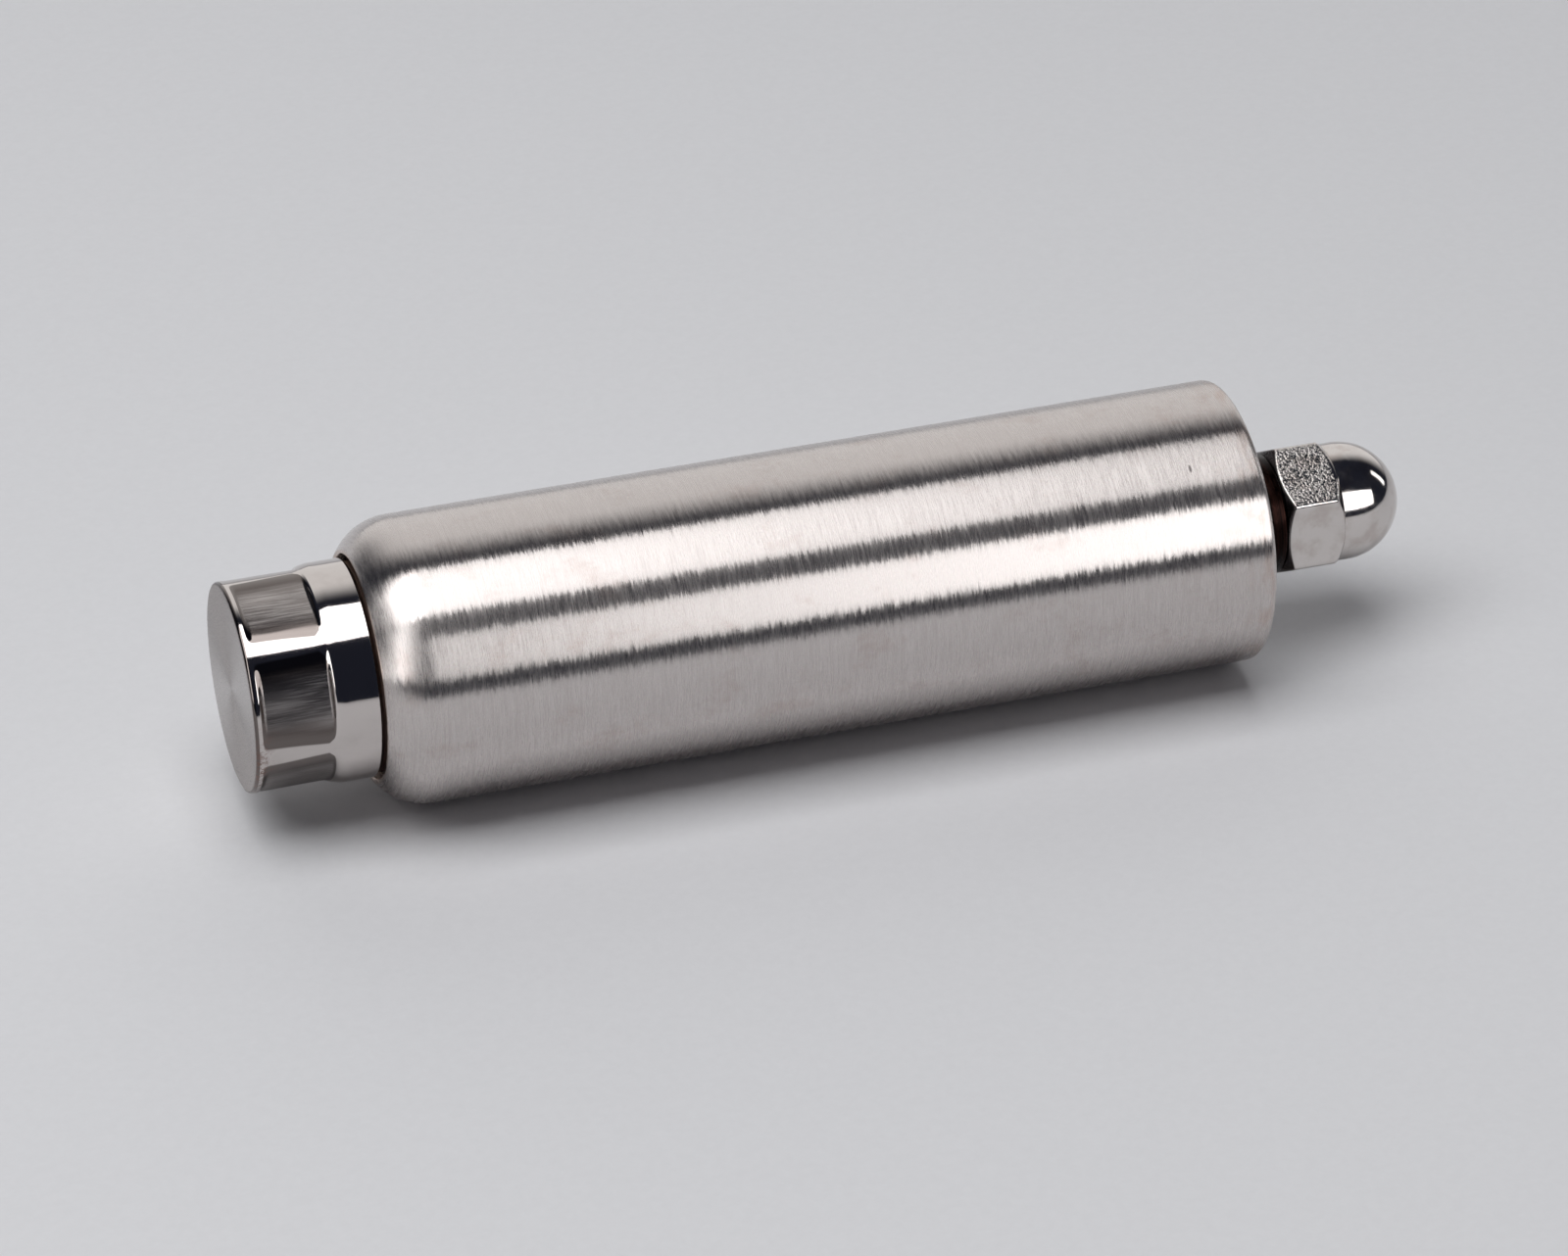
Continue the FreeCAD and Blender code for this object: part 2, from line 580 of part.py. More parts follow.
def o_ring_circle():
    return BORE - O_RING_CLEARANCE - O_RING_SECTION


def make_o_ring():
    middle = (CAP_FRONT + CAP_REAR) / 2
    return Part.makeTorus(o_ring_circle(), O_RING_SECTION, Vec(middle, 0, 0), X_AXIS)


def make_stud():
    """An M8 stud. Its thread is drawn as rings of the real pitch and depth."""
    start = SPIGOT_FRONT - LOCK_NUT_HEIGHT - 1.5
    end = NUT_BASE + STUD_IN_DOME - 0.6
    core = STUD_RADIUS - THREAD_DEPTH
    turns = int((end - start - THREAD_PITCH) / THREAD_PITCH)
    profile = [(start, 0), (start, core)]
    first = start + THREAD_DEPTH
    for n in range(turns):
        ring = first + n * THREAD_PITCH
        profile += [(ring, STUD_RADIUS), (ring + THREAD_PITCH * 0.15, STUD_RADIUS), (ring + THREAD_PITCH / 2, core)]
    profile += [(end, core), (end, 0)]
    return turned(profile)


def make_washer(number):
    start = CAP_REAR + number * WASHER_THICKNESS
    end = start + WASHER_THICKNESS
    hole = STUD_RADIUS + SLIDE_GAP
    edge = WASHER_RADIUS - WASHER_CHAMFER
    return turned([
        (start, hole), (start, edge), (start + WASHER_CHAMFER, WASHER_RADIUS),
        (end - WASHER_CHAMFER, WASHER_RADIUS), (end, edge), (end, hole),
    ])


def make_dome_nut():
    wide = DOME_NUT_FLATS / math.sqrt(3)
    narrow = DOME_NUT_FLATS / 2 - 0.25
    drop = wide - narrow
    outline = turned([
        (NUT_BASE, 0), (NUT_BASE, narrow), (NUT_BASE + drop, wide),
        (HEX_END - drop, wide), (HEX_END, narrow), (HEX_END, 0),
    ])
    body = hexagon(NUT_BASE, HEX_END, DOME_NUT_FLATS, DOME_NUT_CORNER_ANGLE).common(outline)
    neck = rod(HEX_END - DOME_NECK, DOME_CENTRE, DOME_RADIUS)
    ball = Part.makeSphere(DOME_RADIUS, Vec(DOME_CENTRE, 0, 0))
    whole = body.fuse([neck, ball]).removeSplitter()
    hole = STUD_RADIUS + THREAD_GAP
    end = NUT_BASE + STUD_IN_DOME
    return whole.cut(turned([(NUT_BASE, 0), (NUT_BASE, hole), (end, hole), (end + hole / 3, 0)]))


def make_key_washer():
    end = VAULT_INSIDE + KEY_WASHER_THICKNESS
    return rod(VAULT_INSIDE, end, KEY_WASHER_RADIUS, KEY_STUB_RADIUS + SLIDE_GAP)


def make_key_nut():
    start = VAULT_INSIDE + KEY_WASHER_THICKNESS
    return hex_nut(start, KEY_NUT_HEIGHT, KEY_NUT_FLATS, KEY_STUB_RADIUS + THREAD_GAP)


def make_lock_nut():
    start = SPIGOT_FRONT - LOCK_NUT_HEIGHT
    return hex_nut(start, LOCK_NUT_HEIGHT, DOME_NUT_FLATS, STUD_RADIUS + THREAD_GAP)


def place(name, *pieces):
    """Moves the pieces from the drawing axis to their place and writes them as one node."""
    moved = []
    for piece in pieces:
        for solid in piece.Solids:
            solid = solid.copy()
            solid.translate(Vec(X_SHIFT, 0, AXIS_HEIGHT))
            if not solid.isValid():
                raise ValueError(f"{name} has a solid that isn't valid")
            moved.append(solid)
    shape = moved[0] if len(moved) == 1 else Part.makeCompound(moved)
    shape.exportStep(f"parts/{name}.step")


def main():
    os.makedirs("parts", exist_ok=True)
    # Shell
    place("outer_sleeve", make_outer_sleeve())
    place("bearing_plate", make_bearing_plate())
    place("spindle_bush", make_spindle_bush())
    place("click_spring", make_click_spring())
    place("click_spring_screw", click_spring_screw())
    place("front_spacer_ring", make_front_spacer())
    for n in range(WHEELS - 1):
        place(f"spacer_ring_{n + 1}", make_spacer_ring(n))
    place("guide_plate", make_guide_plate())
    place("retaining_ring", make_retaining_ring())
    # Knob
    place("knob", make_knob())
    place("spindle", make_spindle())
    place("knob_cross_pin", cross_pin())
    place("thrust_washer", make_thrust_washer())
    place("drive_cam", make_drive_cam())
    place("drive_cam_pin", drive_pin())
    place("drive_cam_screw", make_cam_screw())
    # Tumbler wheels
    for n in range(WHEELS):
        place(f"tumbler_wheel_{n + 1}", make_wheel(n))
        place(f"tumbler_pin_{n + 1}", wheel_pin(n))
    # Vault
    place("key_bar", make_key_bar())
    place("locking_pins", *locking_pins())
    place("key_bar_dowel", key_dowel())
    place("key_bar_washer", make_key_washer())
    place("key_bar_nut", make_key_nut())
    place("vault_tube", make_vault_tube())
    place("end_cap", make_end_cap())
    place("end_cap_screws", *[cap_screw(angle) for angle in cap_screw_angles()])
    place("end_cap_o_ring", make_o_ring())
    place("stud", make_stud())
    place("stud_lock_nut", make_lock_nut())
    place("spacer_washers", *[make_washer(n) for n in range(WASHERS)])
    place("dome_nut", make_dome_nut())


main()
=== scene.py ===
"""The looks of the smooth steel cryptex: meshes, materials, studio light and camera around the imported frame.

Everything is in metres, in the frame of the model: +X runs along the axis from the knob to the dome nut,
and +Z is up. Sizes are written in millimetres and turned into metres by MM. Angles are counted about +X
from +Y towards +Z, in degrees.
"""

import json
import math

import bmesh
import bpy
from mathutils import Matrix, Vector, noise


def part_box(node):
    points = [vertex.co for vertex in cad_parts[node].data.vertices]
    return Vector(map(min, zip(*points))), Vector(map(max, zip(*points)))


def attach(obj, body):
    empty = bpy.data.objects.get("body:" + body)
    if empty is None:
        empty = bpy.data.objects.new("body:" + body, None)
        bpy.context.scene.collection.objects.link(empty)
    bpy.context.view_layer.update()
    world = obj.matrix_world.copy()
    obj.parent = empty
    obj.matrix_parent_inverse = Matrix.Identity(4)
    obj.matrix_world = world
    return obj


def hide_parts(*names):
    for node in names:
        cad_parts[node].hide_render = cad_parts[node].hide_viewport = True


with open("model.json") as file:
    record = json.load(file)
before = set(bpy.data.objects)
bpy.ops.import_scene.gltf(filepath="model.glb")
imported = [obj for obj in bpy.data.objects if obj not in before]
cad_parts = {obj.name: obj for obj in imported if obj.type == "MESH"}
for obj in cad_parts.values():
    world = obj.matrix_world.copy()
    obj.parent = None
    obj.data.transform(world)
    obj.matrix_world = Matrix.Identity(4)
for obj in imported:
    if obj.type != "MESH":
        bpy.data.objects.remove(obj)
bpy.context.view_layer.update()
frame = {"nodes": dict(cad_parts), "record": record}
nodes = frame["nodes"]

MM = 0.001
TOUCH = 1e-6  # lengths closer than this count as the same

# Places read from the frame
sleeve_low, sleeve_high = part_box("outer_sleeve")
MOUTH = sleeve_low.x
RIM = sleeve_high.x
AXIS_Z = (sleeve_low.z + sleeve_high.z) / 2
SLEEVE_RADIUS = (sleeve_high.z - sleeve_low.z) / 2
KNOB_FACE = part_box("knob")[0].x
KNOB_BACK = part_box("knob")[1].x
NUT_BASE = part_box("dome_nut")[0].x
NUT_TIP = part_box("dome_nut")[1].x
WASHERS_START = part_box("spacer_washers")[0].x

# Sleeve
SLEEVE_WALL = 1.3 * MM
SHOULDER_RADIUS = 6.3 * MM
SHOULDER_RING = 3.3 * MM
HOLE_RADIUS = SLEEVE_RADIUS - SHOULDER_RING
HOLE_LIP = 0.45 * MM
LIP_EDGE = 0.2 * MM
RIM_ROUND = 0.7 * MM
EDGE_ROUND = 0.12 * MM
WAVE_LENGTH = 9 * MM  # how far along the tube the spun shoulder's waves reach
WAVE_DEPTH = 0.035 * MM

# A small nick in the sleeve, in millimetres from the axis
NICK_PLACE = (MOUTH / MM + 87.0, -8.2, 12.6)
NICK_SIZE = (0.17, 0.5, 0.5)

# Knob
COLLAR_RADIUS = HOLE_RADIUS - 0.33 * MM
GRIP_RADIUS = COLLAR_RADIUS - 0.42 * MM
COLLAR_VISIBLE = 4.9 * MM
KNOB_RIM_WIDTH = 0.8 * MM
KNOB_EDGE = 0.40 * MM
NOTCHES = 6
NOTCH_PHASE = 159.6
NOTCH_RIM_DEPTH = 0.38 * MM
NOTCH_COLLAR_DEPTH = 0.51 * MM
NOTCH_CROWN = 0.35  # how much of the knob's own curve a buffed flat keeps
NOTCH_WAVE = 0.07 * MM
NOTCH_EDGE = 0.34 * MM  # over this depth a flat's edge is rounded
RAMP_BEFORE = 0.9 * MM  # the grip starts to widen into the collar this far before its end
RAMP_AFTER = 1.4 * MM  # and is as wide as the collar this far past it
COLLAR_BEVEL = 0.45 * MM
KNOB_HUB_RADIUS = 6.4 * MM
KNOB_HUB_LENGTH = 1.8 * MM
SPINDLE_HOLE = 3.02 * MM
SPINDLE_DEPTH = 8.0 * MM

# Dome nut
NUT_FLATS = 13.0 * MM
NUT_HEX = 6.5 * MM
NUT_FOOT = NUT_FLATS / 2 - 0.25 * MM  # radius of the chamfered end on the washers
NUT_CORNER_CUT = 0.09 * MM
NUT_FRONT_SLOPE = 1.55  # how fast the chamfer widens from the foot
NUT_BACK_SLOPE = 1.15  # and how fast the scallops narrow into the dome
DOME_RADIUS = 6.3 * MM
NUT_CORNER_ANGLE = 145.8
NUT_HOLE = 4.05 * MM
NUT_HOLE_DEPTH = 10.2 * MM
NUT_HOLE_CONE = 1.3 * MM

# Washers
WASHERS = 3
WASHER_RADIUS = 6.5 * MM
WASHER_HOLE = 4.2 * MM
WASHER_EDGE = 0.25 * MM
WASHER_GAP = 0.008 * MM

# Studio
DARK_ROOM = (0.016, 0.018, 0.028)
PALE_WALL = (0.92, 0.91, 0.90)
WALL_EDGE = (0.33, 0.72)  # the pale wall stands where a direction's Y is more than this
WALL_LEFT_END = (-0.60, -0.15)  # and where its X is more than this
BACKDROP = (0.58, 0.58, 0.59)
FLOOR_HALF = 3.0
LENS = 146.4
SENSOR_WIDTH = 36
CAMERA_PLACE = Vector((-0.1700, -0.5307, 0.3757))
CAMERA_FORWARD = Vector((0.2488, 0.7981, -0.5487))

# Colours that each look mixes
STEEL_SHADE, STEEL_LIGHT = (0.515, 0.474, 0.460), (0.630, 0.588, 0.570)
STEEL_SMUDGE = (0.46, 0.385, 0.360)
# Brownish streaks near the sleeve's rim: painted shade and reflection
RIM_PAINTED_SHADE = (0.46, 0.34, 0.29)
LIP_STAIN = (0.42, 0.31, 0.25)
NICK_DARK = (0.10, 0.085, 0.085)
KNOB_BRIGHT, KNOB_DULL = (0.58, 0.54, 0.52), (0.47, 0.43, 0.41)
# The flats' two colours are darker than the rest of the knob's steel: painted shade for the dark surroundings
# they reflect, mixed along real polishing lines
FLAT_PAINTED_SHADE_DEEP, FLAT_PAINTED_SHADE_PALE = (0.290, 0.262, 0.252), (0.430, 0.400, 0.388)
# A painted shadow line along the edges of the flats
FLAT_EDGE_PAINTED_SHADOW = (0.085, 0.068, 0.062)
BEVEL_BROWN = (0.40, 0.30, 0.26)
SPECK_BROWN = (0.20, 0.12, 0.10)
NUT_BRIGHT, NUT_DULL = (0.62, 0.585, 0.565), (0.52, 0.47, 0.445)
# Near black on the nut's chamfered foot: a painted dark reflection
NUT_PAINTED_REFLECTION = (0.05, 0.04, 0.04)
# The washers' near black is painted shade; the brown is their turning lines
WASHER_PAINTED_SHADE, WASHER_BROWN = (0.003, 0.0025, 0.0025), (0.022, 0.009, 0.007)
RUBBER_BLACK, RUBBER_GREY = (0.014, 0.014, 0.015), (0.04, 0.039, 0.037)
PAPER_SHADE, PAPER_LIGHT = (0.712, 0.714, 0.733), (0.765, 0.768, 0.788)

# Anisotropic Rotation that spreads a reflection one way or the other, with the tangent round the X axis
ROUND_AXIS = 0.0
ALONG_AXIS = 0.25

SHARP_ANGLE = math.radians(38)  # edges sharper than this aren't shaded smooth
AROUND = 288  # points round a turned skin
AROUND_FINE = 576  # points round the knob and the nut


# ---------------------------------------------------------------- meshes


def arc(centre_x, centre_r, radius, start, end, steps):
    """Points of an arc in the (x, radius) plane. Angles in degrees, counted from +x towards +radius."""
    points = []
    for n in range(steps + 1):
        a = math.radians(start + (end - start) * n / steps)
        points.append((centre_x + radius * math.cos(a), centre_r + radius * math.sin(a)))
    return points


def line(start, end, steps):
    """Points between two (x, radius) points, without the first."""
    return [
        (start[0] + (end[0] - start[0]) * n / steps, start[1] + (end[1] - start[1]) * n / steps)
        for n in range(1, steps + 1)
    ]


def smooth(low, high, value):
    """0 below low, 1 above high, and an S-shaped rise between."""
    t = min(max((value - low) / (high - low), 0.0), 1.0)
    return t * t * (3 - 2 * t)


def soft_min(a, b, width):
    """The smaller of two lengths, with the corner between them rounded over that width."""
    h = max(width - abs(a - b), 0.0) / width
    return min(a, b) - h * h * width / 4


def skin(name, outline, around, closed=True, shape=None):
    """A mesh turned about the axis from (x, radius) points. shape(x, radius, angle) may change a point.

    A closed outline goes back to its first point, as a ring's does. An open one has each end on the axis, or
    left open for join_skins.
    """
    vertices = []
    rings = []
    for x, radius in outline:
        if radius < TOUCH:
            rings.append([len(vertices)])
            vertices.append((x, 0.0, AXIS_Z))
            continue
        ring = []
        for n in range(around):
            angle = 360.0 * n / around
            px, pr = shape(x, radius, angle) if shape else (x, radius)
            a = math.radians(angle)
            ring.append(len(vertices))
            vertices.append((px, pr * math.cos(a), AXIS_Z + pr * math.sin(a)))
        rings.append(ring)
    faces = []
    pairs = list(zip(rings, rings[1:]))
    if closed:
        pairs.append((rings[-1], rings[0]))
    for one, two in pairs:
        if len(one) == 1 and len(two) == 1:
            continue
        for n in range(around):
            m = (n + 1) % around
            if len(one) == 1:
                faces.append((one[0], two[m], two[n]))
            elif len(two) == 1:
                faces.append((one[n], one[m], two[0]))
            else:
                faces.append((one[n], one[m], two[m], two[n]))
    mesh = bpy.data.meshes.new(name)
    mesh.from_pydata(vertices, [], faces)
    mesh.validate()
    mesh.shade_smooth()
    mesh.set_sharp_from_angle(angle=SHARP_ANGLE)
    piece = bpy.data.objects.new(name, mesh)
    bpy.context.scene.collection.objects.link(piece)
    return piece


def place(piece, body, replaced, slot, material):
    """Puts a skin on its body, in the stead of a CAD node."""
    piece.data.materials.append(material)
    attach(piece, body)
    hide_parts(replaced)


def make_sleeve(material):
    """The drawn tube: rounded shoulder, polished lip round the hole, softened rim and open bore."""
    lip = HOLE_RADIUS + HOLE_LIP
    centre_r = SLEEVE_RADIUS - SHOULDER_RADIUS
    start = math.degrees(math.acos((lip - centre_r) / SHOULDER_RADIUS))
    centre_x = MOUTH + SHOULDER_RADIUS * math.sin(math.radians(start))
    inner = SHOULDER_RADIUS - SLEEVE_WALL
    bore = SLEEVE_RADIUS - SLEEVE_WALL
    inner_start = math.degrees(math.acos((HOLE_RADIUS - centre_r) / inner))
    outline = [(MOUTH + LIP_EDGE, HOLE_RADIUS)]
    outline += arc(MOUTH + LIP_EDGE, HOLE_RADIUS + LIP_EDGE, LIP_EDGE, 270, 180, 6)[1:]
    outline += arc(centre_x, centre_r, SHOULDER_RADIUS, 90 + start, 90, 48)
    outline += line(outline[-1], (RIM - RIM_ROUND, SLEEVE_RADIUS), 60)
    outline += arc(RIM - RIM_ROUND, SLEEVE_RADIUS - RIM_ROUND, RIM_ROUND, 90, 0, 10)[1:]
    outline += arc(RIM - EDGE_ROUND, bore + EDGE_ROUND, EDGE_ROUND, 0, -90, 4)
    outline += line(outline[-1], (centre_x, bore), 20)
    outline += arc(centre_x, centre_r, inner, 90, 90 + inner_start, 24)[1:]
    outline.reverse()

    def drawn(x, radius, angle):
        """The spun shoulder isn't quite even: it waves by a few hundredths of a millimetre."""
        share = 1 - smooth(0, WAVE_LENGTH, x - MOUTH)
        if share <= 0 or radius < HOLE_RADIUS + 0.3 * MM:
            return x, radius
        a = math.radians(angle)
        wave = noise.noise(Vector((x * 220, math.cos(a) * 2.2, math.sin(a) * 2.2)))
        return x, radius - WAVE_DEPTH * share * (0.5 + wave)

    tube = skin("sleeve_skin", outline, AROUND, shape=drawn)
    place(tube, "sleeve", "outer_sleeve", "brushed_steel", material)


def make_knob(material):
    """The polished knob: six buffed flats between a plain rim and a plain collar."""
    rim_end = KNOB_FACE + KNOB_RIM_WIDTH
    grip_end = MOUTH - COLLAR_VISIBLE
    hub_start = KNOB_BACK - KNOB_HUB_LENGTH
    hole_end = MOUTH - SPINDLE_DEPTH
    bevel_start = MOUTH - COLLAR_BEVEL
    step = COLLAR_RADIUS - GRIP_RADIUS
    outline = [(KNOB_FACE, 0.0)]
    outline += line((KNOB_FACE, 0.0), (KNOB_FACE, GRIP_RADIUS - KNOB_EDGE), 12)
    outline += arc(KNOB_FACE + KNOB_EDGE, GRIP_RADIUS - KNOB_EDGE, KNOB_EDGE, 180, 90, 8)[1:]
    outline += line(outline[-1], (grip_end - RAMP_BEFORE, GRIP_RADIUS), 64)
    outline += line(outline[-1], (grip_end + RAMP_AFTER + 0.1 * MM, GRIP_RADIUS), 48)
    outline += line(outline[-1], (bevel_start - 0.1 * MM, GRIP_RADIUS), 10)
    outline += line(outline[-1], (bevel_start, GRIP_RADIUS), 2)
    neck = COLLAR_RADIUS - COLLAR_BEVEL
    outline += line((bevel_start, COLLAR_RADIUS), (MOUTH, neck), 4) + [(hub_start, neck)]
    outline += [(hub_start, KNOB_HUB_RADIUS), (KNOB_BACK, KNOB_HUB_RADIUS), (KNOB_BACK, SPINDLE_HOLE)]
    outline += [(hole_end, SPINDLE_HOLE), (hole_end, 0.0)]

    def buffed(x, radius, angle):
        """Widens the grip into the collar, and sinks a slightly crowned flat into it at every notch."""
        if radius < GRIP_RADIUS - TOUCH or x > bevel_start + TOUCH:
            return x, radius
        land = GRIP_RADIUS + step * smooth(grip_end - RAMP_BEFORE, grip_end + RAMP_AFTER, x)
        along = (x - rim_end) / (grip_end - rim_end)
        if along <= 0 or x > grip_end + 0.6 * MM:
            return x, land
        away = (angle - NOTCH_PHASE) % (360 / NOTCHES)
        away = min(away, 360 / NOTCHES - away)
        a = math.radians(angle)
        wave = noise.noise(Vector((x * 180, math.cos(a) * 3.5, math.sin(a) * 3.5)))
        depth = NOTCH_RIM_DEPTH + (NOTCH_COLLAR_DEPTH - NOTCH_RIM_DEPTH) * along + NOTCH_WAVE * wave
        bulge = (1 / math.cos(math.radians(away)) - 1) * (1 - NOTCH_CROWN)
        flat = (GRIP_RADIUS - depth) * (1 + bulge)
        opening = smooth(-0.02, 0.07, along)
        wall = 1 - smooth(grip_end - 0.42 * MM, grip_end + 0.18 * MM, x)
        floor = soft_min(land, flat, NOTCH_EDGE)
        return x, land + (floor - land) * opening * wall

    knob = skin("knob_skin", outline, AROUND_FINE, closed=False, shape=buffed)
    place(knob, "knob_group", "knob", "polished_steel", material)


def make_dome_nut(material):
    """The cap nut: scalloped hexagon that runs into a polished dome."""
    flat = NUT_FLATS / 2
    corner = NUT_FLATS / math.sqrt(3)
    hex_end = NUT_BASE + NUT_HEX
    dome_centre = NUT_TIP - DOME_RADIUS
    outline = [(NUT_BASE, NUT_HOLE), (NUT_BASE, NUT_FOOT)]
    outline += line(outline[-1], (NUT_BASE + 2 * MM, corner), 40)
    outline += line(outline[-1], (hex_end - 2 * MM, corner), 20)
    outline += line(outline[-1], (hex_end, corner), 40)
    outline += line((hex_end, corner), (dome_centre, corner), 30)
    outline += arc(dome_centre, 0.0, DOME_RADIUS, 90, 0, 60)[1:-1] + [(NUT_TIP, 0.0)]
    inside = [(NUT_BASE + NUT_HOLE_DEPTH + NUT_HOLE_CONE, 0.0), (NUT_BASE + NUT_HOLE_DEPTH, NUT_HOLE)]
    inside += line(inside[-1], (NUT_BASE, NUT_HOLE), 4)

    def forged(x, radius, angle):
        """Cuts the turned blank down to the hexagon, its chamfer, its scallops and the dome's neck."""
        if x > dome_centre or radius < NUT_FOOT:
            return x, radius
        away = (angle - NUT_CORNER_ANGLE) % 60
        hexagon = soft_min(flat / math.cos(math.radians(away - 30)), corner - NUT_CORNER_CUT, 0.20 * MM)
        front = NUT_FOOT + (x - NUT_BASE) * NUT_FRONT_SLOPE
        back = DOME_RADIUS + 0.02 * MM + max(hex_end - x, 0) * NUT_BACK_SLOPE
        body = soft_min(soft_min(hexagon, front, 0.30 * MM), back, 0.35 * MM)
        neck = DOME_RADIUS - (DOME_RADIUS - NUT_FOOT) * (1 - smooth(0, 0.4 * MM, x - NUT_BASE))
        return x, max(body, neck)

    body = skin("dome_nut_skin", outline, AROUND_FINE, closed=False, shape=forged)
    hole = skin("dome_nut_hole", inside, AROUND_FINE, closed=False)
    place(join_skins(body, hole), "vault", "dome_nut", "polished_nut", material)


def join_skins(body, other):
    """Joins two skins that meet in a ring into one closed mesh."""
    bm = bmesh.new()
    bm.from_mesh(body.data)
    bm.from_mesh(other.data)
    bmesh.ops.remove_doubles(bm, verts=bm.verts, dist=1e-7)
    bmesh.ops.recalc_face_normals(bm, faces=bm.faces)
    bm.to_mesh(body.data)
    bm.free()
    body.data.shade_smooth()
    body.data.set_sharp_from_angle(angle=SHARP_ANGLE)
    bpy.data.objects.remove(other)
    return body


def make_washers(material):
    """Three thick washers, each with softened edges, as one piece of separate rings."""
    thickness = (NUT_BASE - WASHERS_START) / WASHERS
    edge_r = WASHER_RADIUS - WASHER_EDGE
    rings = []
    for n in range(WASHERS):
        start = WASHERS_START + n * thickness + WASHER_GAP / 2
        end = start + thickness - WASHER_GAP
        outline = [(end, WASHER_HOLE), (start, WASHER_HOLE), (start, edge_r)]
        outline += arc(start + WASHER_EDGE, edge_r, WASHER_EDGE, 180, 90, 5)[1:]
        outline += arc(end - WASHER_EDGE, edge_r, WASHER_EDGE, 90, 0, 5)
        rings.append(skin(f"washer_{n + 1}", outline, AROUND))
    whole = rings[0]
    for ring in rings[1:]:
        whole = join_skins(whole, ring)
    place(whole, "vault", "spacer_washers", "dark_washers", material)


# ---------------------------------------------------------------- materials


